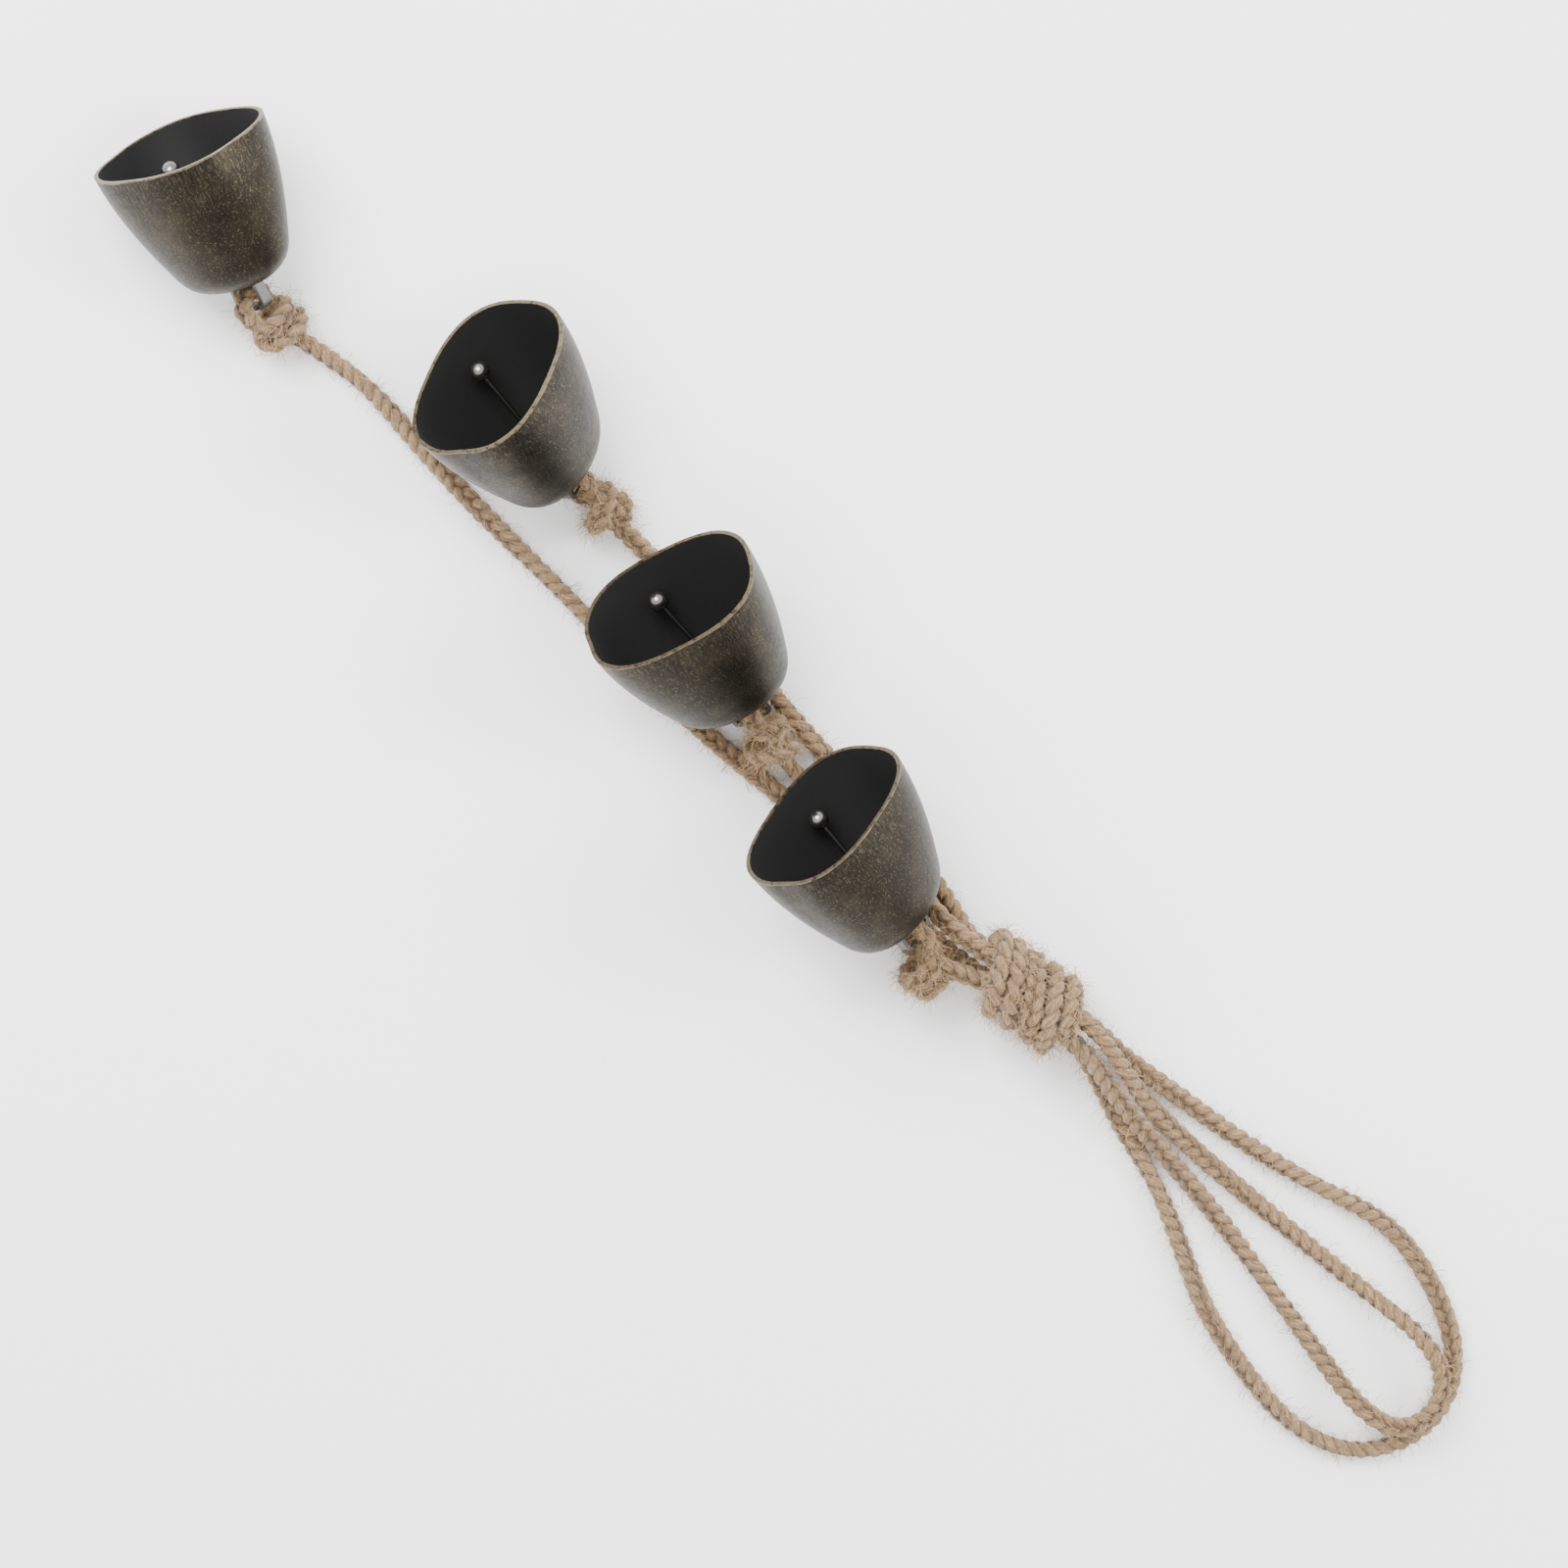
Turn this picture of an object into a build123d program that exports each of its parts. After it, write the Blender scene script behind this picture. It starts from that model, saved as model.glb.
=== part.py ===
"""A hanging string of four oval sheet-metal bells on plaited jute rope.

The string lies on a flat surface, at z = 0.  +X runs along the row of bells towards the two
hanging loops, +Y across it and +Z up.  The origin is on the surface, under the middle of the
row of bells.  Two ropes, each folded in the middle into a hanging loop, give four legs that
pass through one gathering wrap, and each leg is knotted into the bail of one bell.

All dimensions are in millimetres and degrees.
"""
import os
from math import cos, pi, radians, sin, sqrt, tan

from build123d import *

# ---------------------------------------------------------------- bell shell
MOUTH_LONG = 18.8          # half of the oval mouth's long axis
MOUTH_SHORT = 15.4         # half of its short axis
CROWN_LONG = 11.4          # half axes that the sides aim at, at the crown, before the shoulder
CROWN_SHORT = 8.9
BELL_HEIGHT = 31.0         # mouth plane to the flat of the crown
SIDE_POWER = 1.8           # how late the sides curve in: 1 is a straight cone
SHOULDER_RADIUS = 4.5      # rounding between side and crown
MOUTH_SQUARENESS = 2.6     # exponent of the oval: 2 is an ellipse, more is squarer
SHEET = 0.8                # wall of the pressed sheet
SIDE_SECTIONS = 10         # evenly spaced sections from the mouth to where the shoulder starts
SHOULDER_TURNS = (25.0, 50.0, 70.0, 90.0)   # and one section at each of these turns of the shoulder
OVAL_POINTS = 16           # points that carry one oval section's closed spline

# ---------------------------------------------------------------- bail, a closed strap ring
BAIL_RISE = 6.0            # crown's flat to the centre of the bail's top bar
BAIL_WIDTH = 8.6           # outside width of the strap ring
STRAP_THICK = 0.9
STRAP_DEPTH = 2.4
BAIL_CORNER = 1.6          # outside corner radius of the strap ring
SLOT_CLEARANCE = 0.06      # all round each leg, in its slot through the crown
INNER_BAR_DROP = 2.7       # crown's inner face to the centre of the inner bar

# ---------------------------------------------------------------- clapper, an eye, a rod and a bead
CLAPPER_WIRE = 1.0         # wire diameter
EYE_CLEARANCE = 0.25       # round the strap's inner bar, in the eye
BEAD_DIAMETER = 4.2
BEAD_INSIDE = 4.6          # mouth plane to the bead's centre, with the rod on the bell's axis

# ---------------------------------------------------------------- rope
ROPE = 4.2                 # rope diameter
FLOOR_GAP = 0.05           # between a lying rope and the surface
LIE = ROPE / 2 + FLOOR_GAP # height of a lying rope's centre line
EYE_ROPE = 3.6             # rope squeezed where it passes through a bail
BAR_GAP = 0.25             # rope eye to the corners of the bail's bar
KNOT_RADIUS = 5.0

# ---------------------------------------------------------------- gathering wrap
WRAP_START = (128.5, -5.8, 9.5)
WRAP_END = (149.5, -1.8, 9.5)
WRAP_RADIUS = 9.4
LEG_SPACING = 4.5          # between the centre lines of the four legs, two by two
BORE_CLEARANCE = 0.3       # round the four legs
STRAIGHT_OUT = 4.0         # how far the legs run on straight past the wrap's ends

# ---------------------------------------------------------------- where the four bells lie
# The layout below is drawn about its own origin, and save() moves it all by ORIGIN, the point
# under the middle of the row's metalwork.
ORIGIN = (1.96, -0.25, 0.02)

# pivot: centre of the bail's top bar; yaw: heading from mouth to crown; tilt: mouth raised
# above level; roll: turn about the bell's own axis; knot: centre of the knot behind the bail;
# lean: how far the clapper's rod leans along the mouth's long axis; swing: from the bell's
# axis to the side that the clapper rests on.
BELLS = (
    dict(pivot=(-70.2, -15.7, 9.54), yaw=-19.5, tilt=16.3, roll=-52.8,
         knot=(-65.0, -15.4, 6.24), lean=9.0, swing=6.0),
    dict(pivot=(0.7, 4.8, 6.2), yaw=-4.5, tilt=39.4, roll=36.1,
         knot=(7.6, 4.6, 5.3), lean=-7.0, swing=28.0),
    dict(pivot=(59.3, -3.1, 7.5), yaw=-8.2, tilt=34.8, roll=-16.1,
         knot=(65.0, -4.6, 5.6), lean=5.0, swing=29.0),
    dict(pivot=(114.4, -11.4, 10.5), yaw=-7.0, tilt=27.3, roll=30.4,
         knot=(119.8, -15.3, 9.1), lean=-5.0, swing=29.0),
)


def wrap_port(end, side, level):
    """Centre of one of the four legs just outside an end of the wrap: side and level are +-1."""
    along_x, along_y = WRAP_END[0] - WRAP_START[0], WRAP_END[1] - WRAP_START[1]
    length = sqrt(along_x**2 + along_y**2)
    outward = STRAIGHT_OUT if end == WRAP_END else -STRAIGHT_OUT
    half = LEG_SPACING / 2
    return (end[0] + (outward * along_x - side * half * along_y) / length,
            end[1] + (outward * along_y + side * half * along_x) / length,
            end[2] + level * half)


# ---------------------------------------------------------------- routes, chosen by hand
OUTER_ROUTE = (
    BELLS[0]["knot"], (-57.5, -13.6, 2.7), (-43.0, -11.0, LIE), (-27.0, -12.3, LIE),
    (-8.0, -13.1, LIE), (15.0, -12.7, LIE), (38.0, -13.4, LIE), (60.0, -12.4, LIE),
    (78.0, -10.4, LIE), (96.0, -9.9, LIE), (108.0, -9.4, LIE), (117.0, -9.3, 4.3),
    wrap_port(WRAP_START, -1, -1), wrap_port(WRAP_END, -1, -1),
    (162.5, -5.9, 4.3), (173.0, -9.4, LIE), (185.0, -12.1, LIE), (198.0, -17.5, LIE),
    (211.0, -23.7, LIE), (226.0, -27.0, LIE), (241.0, -28.4, LIE), (254.0, -24.2, LIE),
    (261.4, -14.0, LIE), (261.4, -2.0, LIE), (254.6, 7.4, LIE), (241.5, 13.4, LIE),
    (226.0, 15.8, LIE), (209.0, 10.0, LIE), (192.0, 5.8, LIE), (175.0, 3.1, LIE),
    (162.0, 0.9, 4.1),
    wrap_port(WRAP_END, 1, -1), wrap_port(WRAP_START, 1, -1),
    (116.5, -2.2, 4.3), (108.0, -0.6, LIE), (94.0, 0.6, LIE), (77.0, 1.4, LIE),
    (62.0, 2.7, LIE), (45.0, 4.3, LIE), (28.0, 4.9, LIE), (16.5, 4.9, 2.8), BELLS[1]["knot"],
)
INNER_ROUTE = (
    BELLS[2]["knot"], (74.0, -5.3, 2.9), (85.0, -5.5, LIE), (99.0, -5.2, LIE),
    (109.0, -4.9, 4.6), (117.0, -5.4, 9.8),
    wrap_port(WRAP_START, 1, 1), wrap_port(WRAP_END, 1, 1),
    (162.0, -0.3, 9.0), (172.0, -2.2, 4.9), (183.5, -2.4, LIE), (199.0, -1.3, LIE),
    (218.0, 0.6, LIE), (235.0, 2.5, 3.4), (246.0, 3.9, 6.9), (255.6, 2.2, 7.0),
    (260.6, -5.5, 7.0), (257.6, -13.6, 7.0), (248.0, -15.8, 6.2),
    (234.0, -13.6, LIE), (219.0, -11.2, LIE), (202.0, -8.6, LIE), (185.0, -7.1, LIE),
    (173.5, -6.5, 6.4), (162.5, -4.9, 9.1),
    wrap_port(WRAP_END, -1, 1), wrap_port(WRAP_START, -1, 1), BELLS[3]["knot"],
)


# ---------------------------------------------------------------- shared geometry
def half_axes(fraction, inset):
    """Half axes of the bell's oval at a fraction of its height, drawn in by inset."""
    long_half = MOUTH_LONG - (MOUTH_LONG - CROWN_LONG) * fraction**SIDE_POWER
    short_half = MOUTH_SHORT - (MOUTH_SHORT - CROWN_SHORT) * fraction**SIDE_POWER
    into_shoulder = max(0.0, fraction * BELL_HEIGHT - (BELL_HEIGHT - SHOULDER_RADIUS))
    shoulder = SHOULDER_RADIUS - sqrt(SHOULDER_RADIUS**2 - into_shoulder**2)
    return long_half - shoulder - inset, short_half - shoulder - inset


def oval_points(long_half, short_half, squareness):
    """Points of a closed oval, |x/long|^n + |y/short|^n = 1."""
    points = []
    for step in range(OVAL_POINTS):
        angle = radians(360.0 * step / OVAL_POINTS)
        across, up = cos(angle), sin(angle)
        x = long_half * abs(across)**(2 / squareness) * (1 if across > 0 else -1)
        y = short_half * abs(up)**(2 / squareness) * (1 if up > 0 else -1)
        points.append((x, y))
    return points


def bell_body(inset, height):
    """The bell's outer form, or with an inset its hollow, mouth plane at z = 0, crown at +z."""
    with BuildPart() as body:
        side_end = BELL_HEIGHT - SHOULDER_RADIUS
        heights = [side_end * step / (SIDE_SECTIONS - 1) for step in range(SIDE_SECTIONS)]
        heights += [side_end + SHOULDER_RADIUS * sin(radians(turn)) for turn in SHOULDER_TURNS]
        for fraction in (section_height / BELL_HEIGHT for section_height in heights):
            long_half, short_half = half_axes(fraction, inset)
            squareness = MOUTH_SQUARENESS + (2 - MOUTH_SQUARENESS) * fraction
            with BuildSketch(Plane.XY.offset(fraction * height)):
                with BuildLine():
                    Spline(*oval_points(long_half, short_half, squareness), periodic=True)
                make_face()
        loft()
    return body.part


def bell_plane(bell):
    """Plane at the bell's pivot: x along the mouth's long axis, z towards the mouth."""
    yaw, tilt, roll = radians(bell["yaw"]), radians(bell["tilt"]), radians(bell["roll"])
    level = Vector(sin(yaw), -cos(yaw), 0)
    upward = Vector(sin(tilt) * cos(yaw), sin(tilt) * sin(yaw), cos(tilt))
    to_mouth = Vector(-cos(tilt) * cos(yaw), -cos(tilt) * sin(yaw), sin(tilt))
    return Plane(origin=bell["pivot"], x_dir=level * cos(roll) + upward * sin(roll),
                 z_dir=to_mouth)


def corner_radii(route):
    """For each corner, 0.45 of the shorter run divided by the tangent of half the turn."""
    radii = []
    for before, corner, after in zip(route, route[1:], route[2:]):
        run_in, run_out = Vector(*corner) - Vector(*before), Vector(*after) - Vector(*corner)
        half_turn = radians(run_in.get_angle(run_out) / 2)
        radii.append(0.45 * min(run_in.length, run_out.length) / tan(half_turn))
    return radii


def rope_tube(name, route):
    """A round rope along the route's straight runs, joined by tangent arcs."""
    radii = corner_radii(route)
    with BuildPart() as tube:
        with BuildLine():
            centre_line = FilletPolyline(*route, radius=radii)
        with BuildSketch(Plane(origin=centre_line @ 0, z_dir=centre_line % 0)):
            Circle(ROPE / 2)
        sweep(path=centre_line)
    expected = centre_line.length * pi * (ROPE / 2)**2
    print(f"{name}: length {centre_line.length:.1f}, volume ratio {tube.part.volume / expected:.4f}")
    print("  radii", " ".join(f"{radius:.0f}" for radius in radii))
    return tube.part


def save(part, name):
    """Moves a piece from the layout's own origin to the one under the bells, and writes it."""
    part = Pos(-ORIGIN[0], -ORIGIN[1], -ORIGIN[2]) * part
    part.label = name
    export_step(part, f"parts/{name}.step")


os.makedirs("parts", exist_ok=True)

# ---------------------------------------------------------------- the four bells
CROWN_AT = BAIL_RISE                       # in a bell's own plane, distances from the pivot
MOUTH_AT = BAIL_RISE + BELL_HEIGHT
INNER_BAR_AT = CROWN_AT + SHEET + INNER_BAR_DROP
LEG_OFFSET = (BAIL_WIDTH - STRAP_THICK) / 2
EYE_INNER = sqrt(STRAP_THICK**2 + STRAP_DEPTH**2) / 2 + EYE_CLEARANCE
EYE_RADIUS = EYE_INNER + CLAPPER_WIRE / 2
ROD_REACH = MOUTH_AT - BEAD_INSIDE - INNER_BAR_AT
ROPE_EYE_RADIUS = sqrt(STRAP_THICK**2 + STRAP_DEPTH**2) / 2 + BAR_GAP + EYE_ROPE / 2

for number, bell in enumerate(BELLS, start=1):
    place = bell_plane(bell)
    mouth_plane = Plane(origin=(0, 0, MOUTH_AT), x_dir=(1, 0, 0), z_dir=(0, 0, -1))
    outer_form = mouth_plane * bell_body(0.0, BELL_HEIGHT)
    hollow_form = mouth_plane * bell_body(SHEET, BELL_HEIGHT - SHEET)

    with BuildPart() as bell_shell:
        add(outer_form)
        add(hollow_form, mode=Mode.SUBTRACT)
        with BuildSketch(Plane.XY.offset(CROWN_AT - 1)):
            with Locations((-LEG_OFFSET, 0), (LEG_OFFSET, 0)):
                Rectangle(STRAP_THICK + 2 * SLOT_CLEARANCE, STRAP_DEPTH + 2 * SLOT_CLEARANCE)
        extrude(amount=SHEET + 2, mode=Mode.SUBTRACT)
    save(place * bell_shell.part, f"bell_shell_{number}")

    with BuildPart() as bail:
        ring_height = INNER_BAR_AT + STRAP_THICK
        with BuildSketch(Plane.XZ):
            with Locations((0, INNER_BAR_AT / 2)):
                RectangleRounded(BAIL_WIDTH, ring_height, BAIL_CORNER)
                RectangleRounded(BAIL_WIDTH - 2 * STRAP_THICK, ring_height - 2 * STRAP_THICK,
                                 BAIL_CORNER - STRAP_THICK, mode=Mode.SUBTRACT)
        extrude(amount=STRAP_DEPTH / 2, both=True)
    save(place * bail.part, f"bail_{number}")

    rod_turn = Plane(origin=(0, 0, INNER_BAR_AT)) * Rot(bell["swing"], 0, 0)
    bead_at = Vector(bell["lean"], 0, sqrt(ROD_REACH**2 - bell["lean"]**2))
    with BuildPart() as clapper:
        with Locations(Rot(0, 90, 0)):
            Torus(EYE_RADIUS, CLAPPER_WIRE / 2)
        with BuildLine():
            rod_line = Line(Vector(0, 0, EYE_RADIUS), bead_at)
        with BuildSketch(Plane(origin=rod_line @ 0, z_dir=rod_line % 0)):
            Circle(CLAPPER_WIRE / 2)
        sweep(path=rod_line)
        with Locations(bead_at):
            Sphere(BEAD_DIAMETER / 2)
    save(place * (rod_turn * clapper.part), f"clapper_{number}")

    with BuildPart() as knot:
        with Locations(place * Rot(0, 90, 0)):
            Torus(ROPE_EYE_RADIUS, EYE_ROPE / 2)
        with Locations(bell["knot"]):
            Sphere(KNOT_RADIUS)
    save(knot.part, f"bell_knot_{number}")

# ---------------------------------------------------------------- the ropes and their wrap
save(rope_tube("rope_outer", OUTER_ROUTE), "rope_outer")
save(rope_tube("rope_inner", INNER_ROUTE), "rope_inner")

wrap_axis = Vector(*WRAP_END) - Vector(*WRAP_START)
bore_radius = LEG_SPACING / sqrt(2) + ROPE / 2 + BORE_CLEARANCE
with BuildPart() as gathering_wrap:
    with BuildSketch(Plane(origin=WRAP_START, z_dir=wrap_axis)):
        Circle(WRAP_RADIUS)
        Circle(bore_radius, mode=Mode.SUBTRACT)
    extrude(amount=wrap_axis.length)
    outer_edges = gathering_wrap.edges().filter_by(GeomType.CIRCLE).group_by(SortBy.RADIUS)[-1]
    fillet(outer_edges, ROPE / 2)
save(gathering_wrap.part, "gathering_wrap")
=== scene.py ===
"""A hanging string of four oval bells on plaited jute rope, as a Blender scene."""

from math import cos, pi, radians, sin

import bpy
from mathutils import Matrix, Vector


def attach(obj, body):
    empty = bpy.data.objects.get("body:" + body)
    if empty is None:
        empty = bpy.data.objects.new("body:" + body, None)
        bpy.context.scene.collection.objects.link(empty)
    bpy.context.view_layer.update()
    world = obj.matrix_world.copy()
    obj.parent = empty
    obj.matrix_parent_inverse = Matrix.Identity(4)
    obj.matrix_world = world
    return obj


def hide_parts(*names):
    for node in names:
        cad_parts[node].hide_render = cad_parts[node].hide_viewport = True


bl_info = {
    "name": "Bell string",
    "version": (1, 0, 0),
    "blender": (4, 5, 0),
    "location": "View3D > Sidebar > Bell string",
    "description": "Plaited ropes, knots, wrap, bell metal and stage for a string of bells",
    "category": "Object",
}

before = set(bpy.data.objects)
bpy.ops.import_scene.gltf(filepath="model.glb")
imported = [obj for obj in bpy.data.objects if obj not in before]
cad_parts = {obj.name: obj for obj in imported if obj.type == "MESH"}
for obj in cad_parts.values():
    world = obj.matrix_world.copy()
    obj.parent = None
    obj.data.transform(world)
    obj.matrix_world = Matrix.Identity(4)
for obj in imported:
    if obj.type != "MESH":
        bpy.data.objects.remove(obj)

# ------------------------------------------------------------------ layout, millimetres, degrees
ORIGIN = Vector((1.96, -0.25, 0.02))
LIE = 2.15
BELLS = (
    dict(pivot=(-70.2, -15.7, 9.54), yaw=-19.5, tilt=16.3, roll=-52.8, knot=(-65.0, -15.4, 6.24),
         first_side=1, turns=1.5, spread=4.7, lean=9.0, swing=6.0),
    dict(pivot=(0.7, 4.8, 6.2), yaw=-4.5, tilt=39.4, roll=36.1, knot=(7.6, 4.6, 5.3),
         first_side=-1, turns=1.4, spread=4.4, lean=-7.0, swing=28.0),
    dict(pivot=(59.3, -3.1, 7.5), yaw=-8.2, tilt=34.8, roll=-16.1, knot=(65.0, -4.6, 5.6),
         first_side=1, turns=1.3, spread=4.5, lean=5.0, swing=29.0),
    dict(pivot=(114.4, -11.4, 10.5), yaw=-7.0, tilt=27.3, roll=30.4, knot=(119.8, -15.3, 9.1),
         first_side=-1, turns=1.7, spread=4.5, lean=-5.0, swing=29.0),
)
WRAP_START = Vector((128.5, -5.8, 9.5))
WRAP_END = Vector((149.5, -1.8, 9.5))
LEG_HALF = 2.25
STRAIGHT_OUT = 4.0
INNER_BAR_AT = 9.5         # from a bell's pivot to the centre of its inner bar
ROD_REACH = 22.9           # inner bar to the bead's centre
EYE_REACH = 3.6            # pivot to the route's points round the bail's bar
KNOT_STEPS = 6             # route points in one turn of a knot
KNOT_FIRST_TURN = 200      # degrees
KNOT_AHEAD = 2.4           # how far ahead of its centre a knot's turns begin, towards the bell
KNOT_RUN = 5.6             # and how far back they run
WRAP_STEPS = 44            # route points in the whole wrap
WRAP_TURNS = 4.4
WRAP_FIRST_TURN = -0.6     # radians
WRAP_INSET = 1.2           # wrap's start to its first turn
WRAP_SHORT = 2.0           # how much shorter than the wrap the run of its turns is
WRAP_SLANT = 3.0           # how far one turn leans along the legs, each way
WRAP_REACH = 7.15          # wrap's axis to its route's points
WRAP_UNEVEN = 0.22         # and how much that varies, each way
BEAD_MARK = 0.00215        # metres, just over the bead's radius
SIDE_MIDDLE = 0.022        # metres from a bell's pivot to the middle of its side
RIM_AT = 0.0367            # metres from a bell's pivot to the inner edge of its bright rim
CAMERA_AWAY = 1.5          # metres from the point that the camera looks at
VIEW_WIDTH = 0.32          # metres seen across the picture there
CAMERA_LEAN = 5.0          # degrees from straight down


def port(end, side, level):
    """Centre of one leg just outside an end of the wrap."""
    along = (WRAP_END - WRAP_START).normalized()
    across = Vector((-along.y, along.x, 0))
    outward = STRAIGHT_OUT if end == WRAP_END else -STRAIGHT_OUT
    return tuple(end + along * outward + across * side * LEG_HALF + Vector((0, 0, level * LEG_HALF)))


OUTER_ROUTE = (
    BELLS[0]["knot"], (-57.5, -13.6, 2.7), (-43.0, -11.0, LIE), (-27.0, -12.3, LIE),
    (-8.0, -13.1, LIE), (15.0, -12.7, LIE), (38.0, -13.4, LIE), (60.0, -12.4, LIE),
    (78.0, -10.4, LIE), (96.0, -9.9, LIE), (108.0, -9.4, LIE), (117.0, -9.3, 4.3),
    port(WRAP_START, -1, -1), port(WRAP_END, -1, -1),
    (162.5, -5.9, 4.3), (173.0, -9.4, LIE), (185.0, -12.1, LIE), (198.0, -17.5, LIE),
    (211.0, -23.7, LIE), (226.0, -27.0, LIE), (241.0, -28.4, LIE), (254.0, -24.2, LIE),
    (261.4, -14.0, LIE), (261.4, -2.0, LIE), (254.6, 7.4, LIE), (241.5, 13.4, LIE),
    (226.0, 15.8, LIE), (209.0, 10.0, LIE), (192.0, 5.8, LIE), (175.0, 3.1, LIE),
    (162.0, 0.9, 4.1),
    port(WRAP_END, 1, -1), port(WRAP_START, 1, -1),
    (116.5, -2.2, 4.3), (108.0, -0.6, LIE), (94.0, 0.6, LIE), (77.0, 1.4, LIE),
    (62.0, 2.7, LIE), (45.0, 4.3, LIE), (28.0, 4.9, LIE), (16.5, 4.9, 2.8), BELLS[1]["knot"],
)
INNER_ROUTE = (
    BELLS[2]["knot"], (74.0, -5.3, 2.9), (85.0, -5.5, LIE), (99.0, -5.2, LIE),
    (109.0, -4.9, 4.6), (117.0, -5.4, 9.8),
    port(WRAP_START, 1, 1), port(WRAP_END, 1, 1),
    (162.0, -0.3, 9.0), (172.0, -2.2, 4.9), (183.5, -2.4, LIE), (199.0, -1.3, LIE),
    (218.0, 0.6, LIE), (235.0, 2.5, 3.4), (246.0, 3.9, 6.9), (255.6, 2.2, 7.0),
    (260.6, -5.5, 7.0), (257.6, -13.6, 7.0), (248.0, -15.8, 6.2),
    (234.0, -13.6, LIE), (219.0, -11.2, LIE), (202.0, -8.6, LIE), (185.0, -7.1, LIE),
    (173.5, -6.5, 6.4), (162.5, -4.9, 9.1),
    port(WRAP_END, -1, 1), port(WRAP_START, -1, 1), BELLS[3]["knot"],
)
OUTER_LENGTH = 0.613
INNER_LENGTH = 0.355


def metres(point):
    """A layout point, in millimetres, as a point of the row frame."""
    return (Vector(point) - ORIGIN) * 0.001


def bell_axes(bell):
    """Unit vectors of a bell: along the mouth's long axis, across it, and towards the mouth."""
    yaw, tilt, roll = (radians(bell[key]) for key in ("yaw", "tilt", "roll"))
    level = Vector((sin(yaw), -cos(yaw), 0))
    upward = Vector((sin(tilt) * cos(yaw), sin(tilt) * sin(yaw), cos(tilt)))
    to_mouth = Vector((-cos(tilt) * cos(yaw), -cos(tilt) * sin(yaw), sin(tilt)))
    long_axis = level * cos(roll) + upward * sin(roll)
    return long_axis, to_mouth.cross(long_axis), to_mouth


# ------------------------------------------------------------------ node helpers
class Tree:
    """Short way to add and link nodes."""

    def __init__(self, tree):
        self.tree = tree

    def add(self, kind, values=(), **settings):
        node = self.tree.nodes.new(kind)
        for name, value in settings.items():
            setattr(node, name, value)
        for key, value in dict(values).items():
            if isinstance(value, bpy.types.NodeSocket):
                self.tree.links.new(value, node.inputs[key])
            else:
                node.inputs[key].default_value = value
        return node

    def math(self, operation, a, b=0.0):
        return self.add("ShaderNodeMath", {0: a, 1: b}, operation=operation).outputs[0]

    def vector(self, operation, a, b=(0, 0, 0)):
        node = self.add("ShaderNodeVectorMath", {0: a, 1: b}, operation=operation)
        return node.outputs["Value" if operation in ("DOT_PRODUCT", "LENGTH", "DISTANCE") else 0]

    def scaled(self, a, factor):
        node = self.add("ShaderNodeVectorMath", {0: a, "Scale": factor}, operation="SCALE")
        return node.outputs[0]

    def ramp(self, value, stops):
        node = self.add("ShaderNodeValToRGB", {0: value})
        elements = node.color_ramp.elements
        for index, (place, colour) in enumerate(stops):
            element = elements[index] if index < 2 else elements.new(place)
            element.position = place
            element.color = (*colour, 1)
        return node.outputs[0]

    def between(self, value, low, high):
        node = self.add("ShaderNodeMapRange", {0: value, 1: low, 2: high, 3: 0.0, 4: 1.0},
                        interpolation_type="SMOOTHSTEP")
        return node.outputs[0]

    def noise(self, vector, scale, detail=3.0, rough=0.55):
        node = self.add("ShaderNodeTexNoise",
                        {"Vector": vector, "Scale": scale, "Detail": detail, "Roughness": rough})
        return node.outputs["Fac"]

    def mix(self, factor, a, b):
        node = self.add("ShaderNodeMix", {0: factor, 6: a, 7: b}, data_type="RGBA")
        return node.outputs[2]


def new_material(name):
    material = bpy.data.materials.new(name)
    material.use_nodes = True
    material.node_tree.nodes.clear()
    tree = Tree(material.node_tree)
    surface = tree.add("ShaderNodeBsdfPrincipled")
    output = tree.add("ShaderNodeOutputMaterial")
    tree.tree.links.new(surface.outputs[0], output.inputs[0])
    return material, tree, surface


def set_inputs(tree, node, **values):
    for name, value in values.items():
        key = name.replace("_", " ")
        if isinstance(value, bpy.types.NodeSocket):
            tree.tree.links.new(value, node.inputs[key])
        else:
            node.inputs[key].default_value = value


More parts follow.
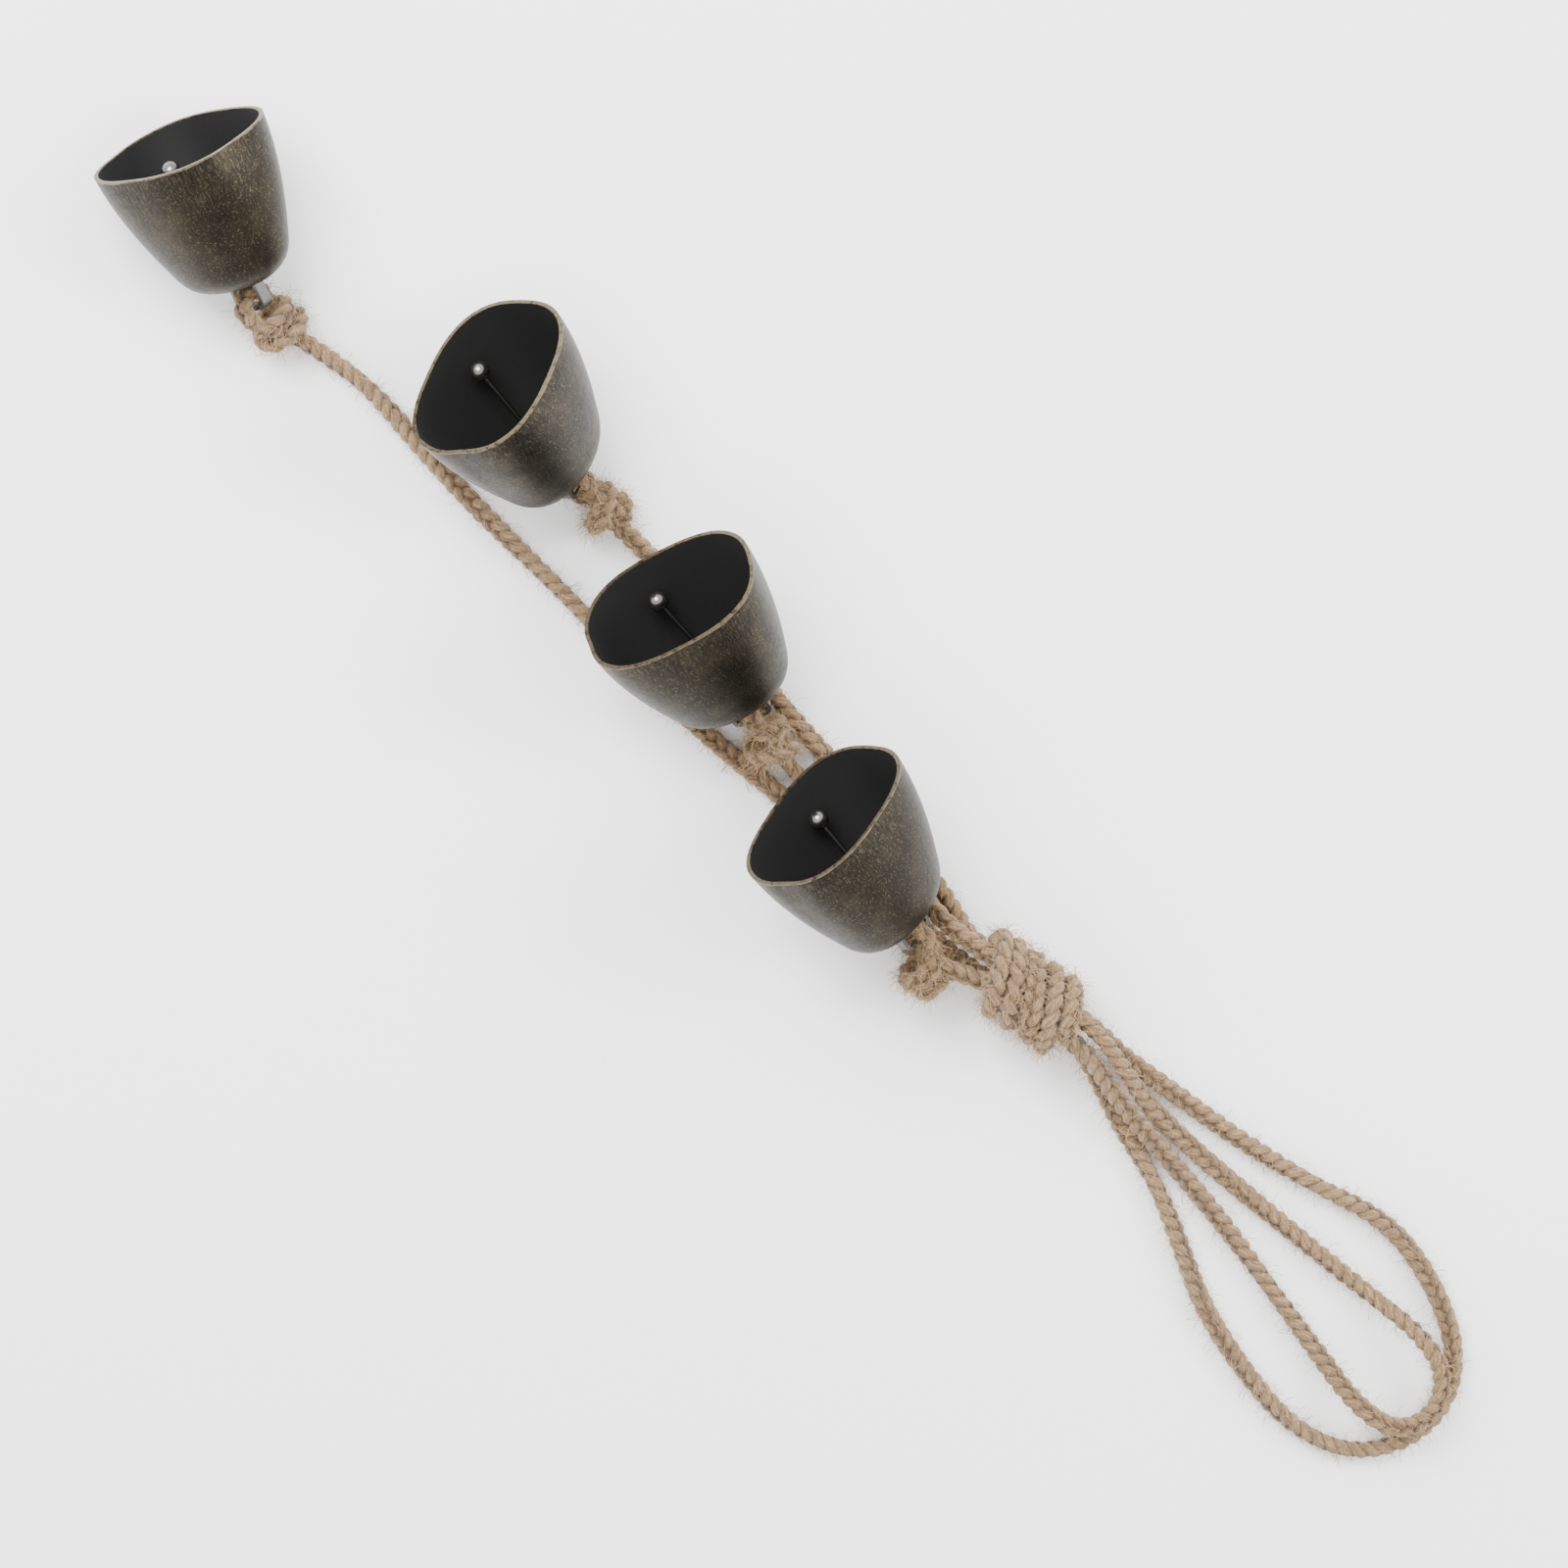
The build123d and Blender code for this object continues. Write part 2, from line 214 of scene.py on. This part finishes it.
def jute_material():
    """Plaited jute: fibres along each strand, and painted shade dark in the creases."""
    if "jute" in bpy.data.materials:
        return bpy.data.materials["jute"]
    material, tree, surface = new_material("jute")
    along = tree.add("ShaderNodeAttribute", attribute_name="along").outputs["Fac"]
    around = tree.add("ShaderNodeAttribute", attribute_name="around").outputs["Fac"]
    out = tree.add("ShaderNodeAttribute", attribute_name="out").outputs["Fac"]
    place = tree.add("ShaderNodeTexCoord").outputs["Object"]
    fibre = tree.add("ShaderNodeCombineXYZ", {
        0: tree.math("MULTIPLY", along, 260.0),
        1: tree.math("ADD", tree.math("MULTIPLY", around, 8.0), tree.math("MULTIPLY", along, 110.0)),
    }).outputs[0]
    streaks = tree.noise(fibre, 1.7, 5.0, 0.72)
    blotches = tree.noise(place, 160.0, 3.0)
    colour = tree.ramp(streaks, ((0.30, (0.060, 0.030, 0.012)), (0.72, (0.520, 0.370, 0.215)),
                                 (0.46, (0.200, 0.122, 0.058)), (0.57, (0.320, 0.210, 0.110))))
    tinted = tree.mix(tree.math("MULTIPLY", blotches, 0.45), colour, (0.25, 0.16, 0.08, 1))
    grain = tree.between(tree.noise(place, 1700.0, 4.0, 0.7), 0.42, 0.62)
    tinted = tree.mix(tree.math("MULTIPLY", grain, 0.55), tinted, (0.115, 0.066, 0.030, 1))
    # Painted shade: where the surface lies close to the rope's centre line, in the creases between
    # strands, it is mixed to near-black brown.
    painted_crease_shade = tree.between(out, 0.0010, 0.0021)
    shaded = tree.mix(painted_crease_shade, (0.040, 0.020, 0.008, 1), tinted)
    bump = tree.add("ShaderNodeBump", {"Strength": 0.9, "Distance": 0.0005, "Height": streaks})
    set_inputs(tree, surface, Base_Color=shaded, Roughness=0.9, Normal=bump.outputs[0],
               Specular_IOR_Level=0.12, Sheen_Weight=0.25, Sheen_Roughness=0.5)
    return material


def fuzz_material():
    """The loose fibres' own pale finish."""
    if "jute_fuzz" in bpy.data.materials:
        return bpy.data.materials["jute_fuzz"]
    material, tree, surface = new_material("jute_fuzz")
    set_inputs(tree, surface, Base_Color=(0.40, 0.275, 0.15, 1), Roughness=0.8,
               Specular_IOR_Level=0.2)
    return material


def bell_material(number, worn):
    """Antique bronze in one bell's own coordinates, brushed down the sides, bright at the rim, and near
    black inside as painted shade.
    """
    bell = BELLS[number - 1]
    long_axis, short_axis, to_mouth = bell_axes(bell)
    material, tree, surface = new_material(f"bell_metal_{number}")
    place = tree.add("ShaderNodeTexCoord").outputs["Object"]
    local = tree.vector("SUBTRACT", place, tuple(metres(bell["pivot"])))
    x = tree.vector("DOT_PRODUCT", local, tuple(long_axis))
    y = tree.vector("DOT_PRODUCT", local, tuple(short_axis))
    z = tree.vector("DOT_PRODUCT", local, tuple(to_mouth))
    normal = tree.add("ShaderNodeNewGeometry").outputs["True Normal"]
    nx = tree.vector("DOT_PRODUCT", normal, tuple(long_axis))
    ny = tree.vector("DOT_PRODUCT", normal, tuple(short_axis))
    nz = tree.vector("DOT_PRODUCT", normal, tuple(to_mouth))
    outward = tree.math("ADD", tree.math("MULTIPLY", x, nx), tree.math("MULTIPLY", y, ny))
    crown_side = tree.math("MULTIPLY", tree.math("SUBTRACT", SIDE_MIDDLE, z),
                           tree.math("MULTIPLY", nz, -1.0))
    outside = tree.between(tree.math("ADD", outward, crown_side), -0.0008, 0.0008)
    angle = tree.math("ARCTAN2", y, x)
    brush = tree.add("ShaderNodeCombineXYZ", {
        0: tree.math("MULTIPLY", angle, 26.0), 1: tree.math("MULTIPLY", z, 110.0), 2: 0.0}).outputs[0]
    streaks = tree.noise(brush, 3.2, 5.0, 0.7)
    cloud = tree.noise(place, 130.0, 5.0, 0.65)
    fine = tree.noise(place, 900.0, 3.0, 0.6)
    speckle = tree.between(tree.noise(place, 2300.0, 3.0, 0.6), 0.56, 0.70)
    near_rim = tree.between(z, 0.024, 0.036)
    base = tree.ramp(cloud, ((0.25, (0.008, 0.0065, 0.0045)), (0.80, (0.034, 0.027, 0.016)),
                             (0.50, (0.016, 0.013, 0.0085))))
    brushed = tree.mix(tree.math("MULTIPLY", tree.between(streaks, 0.48, 0.78),
                                 tree.math("ADD", 0.25, tree.math("MULTIPLY", near_rim, 0.45))),
                       base, (0.13, 0.114, 0.10, 1))
    gold = tree.mix(tree.math("MULTIPLY", speckle, 0.34), brushed, (0.22, 0.172, 0.08, 1))
    rim_edge = tree.math("ADD", RIM_AT,
                         tree.math("MULTIPLY", tree.math("SUBTRACT", cloud, 0.5), 0.0011))
    rim = tree.math("MULTIPLY", tree.math("GREATER_THAN", z, rim_edge),
                    tree.between(fine, 0.25, 0.55))
    rimmed = tree.mix(rim, gold, (0.145, 0.115, 0.072, 1))
    # Painted shade: inside the bell, short of the rim, the metal is made near black, rough and barely
    # metallic, as if in shadow.
    inner = tree.math("MULTIPLY", tree.math("SUBTRACT", 1.0, outside),
                      tree.math("LESS_THAN", z, RIM_AT))
    final = tree.mix(inner, rimmed, (0.0016, 0.0014, 0.0013, 1))
    rough = tree.math("ADD", 0.34 + worn, tree.math("MULTIPLY", fine, 0.22))
    relief = tree.math("ADD", tree.math("MULTIPLY", streaks, 0.6), fine)
    bump = tree.add("ShaderNodeBump", {"Strength": 0.22, "Distance": 0.00012, "Height": relief})
    set_inputs(tree, surface, Base_Color=final, Roughness=tree.mix(inner, rough, (0.75, 0.75, 0.75, 1)),
               Metallic=tree.math("SUBTRACT", 0.92, tree.math("MULTIPLY", inner, 0.75)),
               Normal=bump.outputs[0])
    return material


def clapper_material(number):
    """A dull polished bead on a rod that is nearly black."""
    bell = BELLS[number - 1]
    long_axis, short_axis, to_mouth = bell_axes(bell)
    swing = radians(bell["swing"])
    reach = (ROD_REACH**2 - bell["lean"]**2)**0.5
    bead_at = metres(Vector(bell["pivot"]) + long_axis * bell["lean"]
                     - short_axis * reach * sin(swing)
                     + to_mouth * (INNER_BAR_AT + reach * cos(swing)))
    material, tree, surface = new_material(f"clapper_steel_{number}")
    place = tree.add("ShaderNodeTexCoord").outputs["Object"]
    bead = tree.math("LESS_THAN", tree.vector("DISTANCE", place, tuple(bead_at)), BEAD_MARK)
    wear = tree.noise(place, 600.0, 4.0, 0.6)
    polished = tree.mix(wear, (0.07, 0.068, 0.062, 1), (0.26, 0.25, 0.235, 1))
    set_inputs(tree, surface, Base_Color=tree.mix(bead, (0.02, 0.019, 0.018, 1), polished),
               Metallic=0.95, Roughness=tree.math("SUBTRACT", 0.55, tree.math("MULTIPLY", bead, 0.33)))
    return material


def metal_material(name, dark, bright, low, high, roughness):
    """Worn metal that shows bright where its patches rub through."""
    if name in bpy.data.materials:
        return bpy.data.materials[name]
    material, tree, surface = new_material(name)
    place = tree.add("ShaderNodeTexCoord").outputs["Object"]
    wear = tree.noise(place, 420.0, 4.0, 0.6)
    set_inputs(tree, surface, Base_Color=tree.mix(tree.between(wear, low, high), dark, bright),
               Metallic=0.95, Roughness=tree.math("ADD", roughness, tree.math("MULTIPLY", wear, 0.2)))
    return material


# ------------------------------------------------------------------ geometry nodes
def node_group(name, inputs):
    group = bpy.data.node_groups.new(name, "GeometryNodeTree")
    group.interface.new_socket("Geometry", in_out="INPUT", socket_type="NodeSocketGeometry")
    for label, kind, value in inputs:
        socket = group.interface.new_socket(label, in_out="INPUT", socket_type=kind)
        if value is not None:
            socket.default_value = value
    group.interface.new_socket("Geometry", in_out="OUTPUT", socket_type="NodeSocketGeometry")
    tree = Tree(group)
    return group, tree, tree.add("NodeGroupInput"), tree.add("NodeGroupOutput")


def plait_group():
    """Three strands that cross over each other along a line, as a flat plait that slowly twists."""
    if "plait" in bpy.data.node_groups:
        return bpy.data.node_groups["plait"]
    group, tree, given, result = node_group("plait", (
        ("Period", "NodeSocketFloat", 0.009), ("Lateral", "NodeSocketFloat", 0.00105),
        ("Depth", "NodeSocketFloat", 0.00062), ("Strand", "NodeSocketFloat", 0.00105),
        ("Twist", "NodeSocketFloat", 45.0), ("Material", "NodeSocketMaterial", None)))
    line = tree.add("GeometryNodeMeshToCurve", {0: given.outputs["Geometry"]})
    even = tree.add("GeometryNodeResampleCurve", {"Curve": line.outputs[0], "Length": 0.00065},
                    mode="LENGTH")
    centre = tree.add("GeometryNodeInputPosition")
    kept = tree.add("GeometryNodeStoreNamedAttribute",
                    {"Geometry": even.outputs[0], "Name": "centre", "Value": centre.outputs[0]},
                    data_type="FLOAT_VECTOR", domain="POINT")
    length = tree.add("GeometryNodeSplineParameter").outputs["Length"]
    measured = tree.add("GeometryNodeStoreNamedAttribute",
                        {"Geometry": kept.outputs[0], "Name": "along", "Value": length},
                        data_type="FLOAT", domain="POINT")
    normal = tree.add("GeometryNodeInputNormal").outputs[0]
    tangent = tree.add("GeometryNodeInputTangent").outputs[0]
    sideways = tree.vector("CROSS_PRODUCT", tangent, normal)
    wander = tree.math("MULTIPLY", tree.noise(centre.outputs[0], 28.0, 1.0), 2.2)
    turn = tree.math("ADD", tree.math("MULTIPLY", length, given.outputs["Twist"]), wander)
    turn_cos, turn_sin = tree.math("COSINE", turn), tree.math("SINE", turn)
    wide = tree.vector("ADD", tree.scaled(normal, turn_cos), tree.scaled(sideways, turn_sin))
    deep = tree.vector("SUBTRACT", tree.scaled(sideways, turn_cos), tree.scaled(normal, turn_sin))
    phase = tree.math("MULTIPLY", tree.math("DIVIDE", length, given.outputs["Period"]), 2 * pi)
    join = tree.add("GeometryNodeJoinGeometry")
    ring = tree.add("GeometryNodeCurvePrimitiveCircle",
                    {"Resolution": 9, "Radius": given.outputs["Strand"]}, mode="RADIUS")
    ring_kept = tree.add("GeometryNodeStoreNamedAttribute",
                         {"Geometry": ring.outputs[0], "Name": "around",
                          "Value": tree.add("GeometryNodeSplineParameter").outputs["Factor"]},
                         data_type="FLOAT", domain="POINT")
    for strand in range(3):
        here = tree.math("ADD", phase, strand * 2 * pi / 3)
        out_wide = tree.math("MULTIPLY", tree.math("SINE", here), given.outputs["Lateral"])
        out_deep = tree.math("MULTIPLY", tree.math("SINE", tree.math("MULTIPLY", here, 2.0)),
                             given.outputs["Depth"])
        offset = tree.vector("ADD", tree.scaled(wide, out_wide), tree.scaled(deep, out_deep))
        moved = tree.add("GeometryNodeSetPosition",
                         {"Geometry": measured.outputs[0], "Offset": offset})
        tube = tree.add("GeometryNodeCurveToMesh",
                        {"Curve": moved.outputs[0], "Profile Curve": ring_kept.outputs[0],
                         "Fill Caps": True})
        tree.tree.links.new(tube.outputs[0], join.inputs[0])
    centre_again = tree.add("GeometryNodeInputNamedAttribute", {"Name": "centre"},
                            data_type="FLOAT_VECTOR")
    away = tree.vector("DISTANCE", tree.add("GeometryNodeInputPosition").outputs[0],
                       centre_again.outputs[0])
    marked = tree.add("GeometryNodeStoreNamedAttribute",
                      {"Geometry": join.outputs[0], "Name": "out", "Value": away},
                      data_type="FLOAT", domain="POINT")
    smooth = tree.add("GeometryNodeSetShadeSmooth", {0: marked.outputs[0]})
    real = tree.add("GeometryNodeRealizeInstances", {0: smooth.outputs[0]})
    painted = tree.add("GeometryNodeSetMaterial",
                       {"Geometry": real.outputs[0], "Material": given.outputs["Material"]})
    tree.tree.links.new(painted.outputs[0], result.inputs[0])
    return group


def fuzz_group():
    """Fine loose fibres standing off a surface, from a fixed seed."""
    if "fuzz" in bpy.data.node_groups:
        return bpy.data.node_groups["fuzz"]
    group, tree, given, result = node_group("fuzz", (
        ("Density", "NodeSocketFloat", 250000.0), ("Seed", "NodeSocketInt", 3),
        ("Longest", "NodeSocketFloat", 1.0), ("Material", "NodeSocketMaterial", None)))
    points = tree.add("GeometryNodeDistributePointsOnFaces",
                      {"Mesh": given.outputs["Geometry"], "Density": given.outputs["Density"],
                       "Seed": given.outputs["Seed"]})
    arc = tree.add("GeometryNodeCurveQuadraticBezier",
                   {"Resolution": 5, "Start": (0, 0, -0.0002), "Middle": (0.0004, 0, 0.0012),
                    "End": (0.0017, 0.0003, 0.0019)})
    ring = tree.add("GeometryNodeCurvePrimitiveCircle", {"Resolution": 3, "Radius": 0.000038},
                    mode="RADIUS")
    hair = tree.add("GeometryNodeCurveToMesh",
                    {"Curve": arc.outputs[0], "Profile Curve": ring.outputs[0]})
    lean = tree.add("FunctionNodeRandomValue",
                    {0: (-0.9, -0.9, -0.9), 1: (0.9, 0.9, 0.9)}, data_type="FLOAT_VECTOR")
    heading = tree.vector("ADD", points.outputs["Normal"], lean.outputs[0])
    aimed = tree.add("FunctionNodeAlignRotationToVector", {"Vector": heading}, axis="Z")
    spin = tree.add("FunctionNodeRandomValue", {"Min": 0.0, "Max": 6.28}, data_type="FLOAT")
    spin_value = next(s for s in spin.outputs if s.enabled)
    roll = tree.add("FunctionNodeAxisAngleToRotation", {"Axis": (0, 0, 1), "Angle": spin_value})
    turned = tree.add("FunctionNodeRotateRotation",
                      {0: aimed.outputs[0], 1: roll.outputs[0]}, rotation_space="LOCAL")
    size = tree.add("FunctionNodeRandomValue", data_type="FLOAT")
    size_value = next(s for s in size.outputs if s.enabled)
    grown = tree.math("ADD", 0.35, tree.math("MULTIPLY", size_value, given.outputs["Longest"]))
    placed = tree.add("GeometryNodeInstanceOnPoints",
                      {"Points": points.outputs[0], "Instance": hair.outputs[0],
                       "Rotation": turned.outputs[0], "Scale": grown})
    real = tree.add("GeometryNodeRealizeInstances", {0: placed.outputs[0]})
    painted = tree.add("GeometryNodeSetMaterial",
                       {"Geometry": real.outputs[0], "Material": given.outputs["Material"]})
    tree.tree.links.new(painted.outputs[0], result.inputs[0])
    return group


def grown_mesh(name, mesh, group, **values):
    """A new object with the mesh that a node group makes from another, with no modifier left."""
    source = bpy.data.objects.new(name, mesh)
    bpy.context.scene.collection.objects.link(source)
    modifier = source.modifiers.new("nodes", "NODES")
    modifier.node_group = group
    for item in group.interface.items_tree:
        if item.item_type == "SOCKET" and item.in_out == "INPUT" and item.name in values:
            modifier[item.identifier] = values[item.name]
    bpy.context.view_layer.update()
    evaluated = source.evaluated_get(bpy.context.evaluated_depsgraph_get())
    made = bpy.data.meshes.new_from_object(evaluated)
    source.modifiers.remove(modifier)
    source.data = made
    made.name = name
    return source


def centre_points(name, route):
    """Points along one NURBS spline through a route's control points."""
    curve = bpy.data.curves.new(name + "_line", "CURVE")
    curve.dimensions = "3D"
    curve.resolution_u = 10
    spline = curve.splines.new("NURBS")
    spline.points.add(len(route) - 1)
    for point, place in zip(spline.points, route):
        point.co = (*metres(place), 1)
    spline.order_u = 3
    spline.use_endpoint_u = True
    holder = bpy.data.objects.new(name + "_line", curve)
    bpy.context.scene.collection.objects.link(holder)
    bpy.context.view_layer.update()
    evaluated = holder.evaluated_get(bpy.context.evaluated_depsgraph_get())
    line = bpy.data.meshes.new_from_object(evaluated)
    points = [vertex.co.copy() for vertex in line.vertices]
    bpy.data.objects.remove(holder)
    bpy.data.curves.remove(curve)
    return points


def line_mesh(name, points):
    mesh = bpy.data.meshes.new(name)
    mesh.from_pydata([tuple(p) for p in points], [(i, i + 1) for i in range(len(points) - 1)], [])
    return mesh


def plaited(name, route, settings, squeeze=1.0):
    """A plaited rope along a route, riding with the strands."""
    points = centre_points(name, route)
    rope = grown_mesh(name, line_mesh(name, points), plait_group(), Period=settings.period * squeeze,
                      Lateral=settings.lateral * squeeze, Depth=settings.depth * squeeze,
                      Strand=settings.strand * squeeze, Twist=settings.twist,
                      Material=jute_material())
    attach(rope, "strands")
    return rope, points


def fuzzed(name, rope, density, seed, longest):
    hair = grown_mesh(name, rope.data.copy(), fuzz_group(), Density=density, Seed=seed,
                      Longest=longest, Material=fuzz_material())
    for vertex in hair.data.vertices:
        vertex.co.z = max(vertex.co.z, 0.0)
    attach(hair, "strands")
    return hair


def knot_route(bell):
    """From the leg's end, round the bail's top bar and back, then round the knot's own middle."""
    pivot, knot = Vector(bell["pivot"]), Vector(bell["knot"])
    bar = bell_axes(bell)[0]
    forward = (pivot - knot)
    forward = (forward - bar * forward.dot(bar)).normalized()
    rise = bar.cross(forward)
    side = bell["first_side"]
    route = [knot - forward * 1.5, knot + rise * 1.6 * side + forward * 1.5 - bar * 1.0]
    for angle in (135, 90, 45, 0, -45, -90, -135):
        turn = radians(angle)
        route.append(pivot + (forward * cos(turn) + rise * sin(turn) * side) * EYE_REACH)
    steps = int(bell["turns"] * KNOT_STEPS)
    step_turn = 360 / KNOT_STEPS
    reach = bell["spread"]
    for step in range(steps + 1):
        turn = radians(KNOT_FIRST_TURN + step_turn * step)
        drift = KNOT_AHEAD - KNOT_RUN * step / steps
        route.append(knot + forward * drift + (rise * cos(turn) * side + bar * sin(turn)) * reach)
    last = radians(KNOT_FIRST_TURN + step_turn * (steps + 0.8))
    route.append(knot - forward * 4.4 + (rise * cos(last) * side + bar * sin(last)) * 2.4)
    return [Vector((point.x, point.y, max(point.z, LIE))) for point in route]


def wrap_route():
    """Slanted turns of rope round the four legs."""
    along = (WRAP_END - WRAP_START).normalized()
    across = Vector((-along.y, along.x, 0))
    up = Vector((0, 0, 1))
    length = (WRAP_END - WRAP_START).length - WRAP_SHORT
    route = []
    for step in range(WRAP_STEPS + 1):
        turn = 2 * pi * WRAP_TURNS * step / WRAP_STEPS + WRAP_FIRST_TURN
        base = WRAP_START + along * (WRAP_INSET + length * step / WRAP_STEPS)
        slant = along * (-WRAP_SLANT * cos(turn) * (1 - 0.35 * abs(2 * step / WRAP_STEPS - 1)))
        reach = WRAP_REACH + WRAP_UNEVEN * sin(3.7 * step)
        route.append(base + slant + (across * cos(turn) + up * sin(turn)) * reach)
    return route


# ------------------------------------------------------------------ settings and operators
class BellStringSettings(bpy.types.PropertyGroup):
    period: bpy.props.FloatProperty(name="Plait period", default=0.0086, min=0.004, max=0.03)
    lateral: bpy.props.FloatProperty(name="Plait half width", default=0.00105, min=0.0004, max=0.003)
    depth: bpy.props.FloatProperty(name="Plait half depth", default=0.00066, min=0.0002, max=0.002)
    strand: bpy.props.FloatProperty(name="Strand radius", default=0.00108, min=0.0004, max=0.003)
    twist: bpy.props.FloatProperty(name="Twist per metre", default=40.0, min=0.0, max=200.0)
    fuzz: bpy.props.FloatProperty(name="Fuzz density", default=600000.0, min=0.0, max=1e6)
    worn: bpy.props.FloatProperty(name="Extra roughness", default=0.0, min=-0.2, max=0.4)
    light: bpy.props.FloatProperty(name="Light power", default=15.0, min=0.0, max=200.0)
    sky: bpy.props.FloatProperty(name="Sky strength", default=2.3, min=0.0, max=5.0)


class BELLSTRING_OT_ropes(bpy.types.Operator):
    """Two plaited ropes, each folded into a loop, with their knots and the gathering wrap"""
    bl_idname = "bellstring.ropes"
    bl_label = "Ropes"

    def execute(self, context):
        settings = context.scene.bell_string
        ropes = {}
        for name, route, node in (("outer_rope", OUTER_ROUTE, "rope_outer"),
                                  ("inner_rope", INNER_ROUTE, "rope_inner")):
            rope, points = plaited(name, route, settings)
            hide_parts(node)
            ropes[name] = (rope, points)
        knots = []
        for number, bell in enumerate(BELLS, start=1):
            knot, _ = plaited(f"knot_{number}", knot_route(bell), settings, 0.98)
            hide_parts(f"bell_knot_{number}")
            knots.append(knot)
        wrap, _ = plaited("wrap", wrap_route(), settings)
        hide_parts("gathering_wrap")
        for name, length, pieces in (("outer_rope", OUTER_LENGTH, (knots[0], knots[1], wrap)),
                                     ("inner_rope", INNER_LENGTH, (knots[2], knots[3]))):
            rope, points = ropes[name]
        return {"FINISHED"}


class BELLSTRING_OT_fuzz(bpy.types.Operator):
    """Loose fibres on every rope"""
    bl_idname = "bellstring.fuzz"
    bl_label = "Fuzz"

    def execute(self, context):
        density = context.scene.bell_string.fuzz
        for seed, (name, factor) in enumerate((
                ("outer_rope", 0.6), ("inner_rope", 0.6), ("wrap", 1.5), ("knot_1", 1.5),
                ("knot_2", 2.2), ("knot_3", 2.6), ("knot_4", 2.2)), start=2):
            fuzzed(name + "_fuzz", bpy.data.objects[name], density * factor, seed, 1.0)
        return {"FINISHED"}


class BELLSTRING_OT_metal(bpy.types.Operator):
    """Finishes for the bells, their bails and their clappers"""
    bl_idname = "bellstring.metal"
    bl_label = "Metal"

    def execute(self, context):
        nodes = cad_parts
        strap = metal_material("strap_metal", (0.012, 0.0115, 0.011, 1), (0.20, 0.19, 0.17, 1),
                               0.52, 0.74, 0.28)
        for number in range(1, len(BELLS) + 1):
            finishes = {
                f"bell_shell_{number}": bell_material(number, context.scene.bell_string.worn),
                f"bail_{number}": strap,
                f"clapper_{number}": clapper_material(number),
            }
            for name, material in finishes.items():
                data = nodes[name].data
                data.materials.clear()
                data.materials.append(material)
        return {"FINISHED"}


class BELLSTRING_OT_stage(bpy.types.Operator):
    """Floor, soft light and camera"""
    bl_idname = "bellstring.stage"
    bl_label = "Stage"

    def execute(self, context):
        settings = context.scene.bell_string
        mesh = bpy.data.meshes.new("floor")
        half, low = 3.0, -0.0001
        mesh.from_pydata([(-half, -half, low), (half, -half, low), (half, half, low),
                          (-half, half, low)], [], [(0, 1, 2, 3)])
        floor = bpy.data.objects.new("floor", mesh)
        context.scene.collection.objects.link(floor)
        material, tree, surface = new_material("floor")
        set_inputs(tree, surface, Base_Color=(0.93, 0.93, 0.93, 1), Roughness=0.9,
                   Specular_IOR_Level=0.05)
        mesh.materials.append(material)
        world = bpy.data.worlds.new("soft_sky")
        world.use_nodes = True
        world.node_tree.nodes["Background"].inputs[0].default_value = (1, 1, 1, 1)
        world.node_tree.nodes["Background"].inputs[1].default_value = settings.sky
        context.scene.world = world
        lean = radians(CAMERA_LEAN)
        towards = Vector((-sin(lean), 0, cos(lean)))
        first, second = Vector((cos(lean), 0, sin(lean))), Vector((0, 1, 0))
        up = (second - first).normalized()
        right = (first + second).normalized()
        aim = metres((74.2, -8.6, 0.0))
        for name, place, size, power in (
                ("key", aim + towards * 0.75 - right * 0.30 + up * 0.45, 0.45, settings.light),
                ("side", aim + towards * 0.45 + right * 0.70 + up * 0.10, 0.35, settings.light * 0.45)):
            lamp = bpy.data.lights.new(name, "AREA")
            lamp.size = size
            lamp.energy = power
            holder = bpy.data.objects.new(name, lamp)
            holder.location = place
            holder.rotation_euler = (aim - place).to_track_quat("-Z", "Y").to_euler()
            context.scene.collection.objects.link(holder)
        camera_data = bpy.data.cameras.new("camera")
        camera_data.sensor_width = 36.0
        camera_data.lens = camera_data.sensor_width * CAMERA_AWAY / VIEW_WIDTH
        camera_data.clip_end = 20.0
        camera = bpy.data.objects.new("camera", camera_data)
        turned = Matrix((right, up, towards)).transposed().to_4x4()
        camera.matrix_world = Matrix.Translation(aim + CAMERA_AWAY * towards) @ turned
        context.scene.collection.objects.link(camera)
        context.scene.camera = camera
        return {"FINISHED"}


class BELLSTRING_PT_panel(bpy.types.Panel):
    bl_label = "Bell string"
    bl_idname = "BELLSTRING_PT_panel"
    bl_space_type = "VIEW_3D"
    bl_region_type = "UI"
    bl_category = "Bell string"

    def draw(self, context):
        settings = context.scene.bell_string
        for name in settings.__annotations__:
            self.layout.prop(settings, name)
        for operator in OPERATORS:
            self.layout.operator(operator.bl_idname)


OPERATORS = (BELLSTRING_OT_ropes, BELLSTRING_OT_fuzz, BELLSTRING_OT_metal, BELLSTRING_OT_stage)


def register():
    for kind in (BellStringSettings, *OPERATORS, BELLSTRING_PT_panel):
        bpy.utils.register_class(kind)
    bpy.types.Scene.bell_string = bpy.props.PointerProperty(type=BellStringSettings)


def unregister():
    del bpy.types.Scene.bell_string
    for kind in (BELLSTRING_PT_panel, *reversed(OPERATORS), BellStringSettings):
        bpy.utils.unregister_class(kind)


def main():
    register()
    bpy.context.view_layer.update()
    bpy.ops.bellstring.stage()
    bpy.ops.bellstring.ropes()
    bpy.ops.bellstring.fuzz()
    bpy.ops.bellstring.metal()


if __name__ == "__main__":
    main()
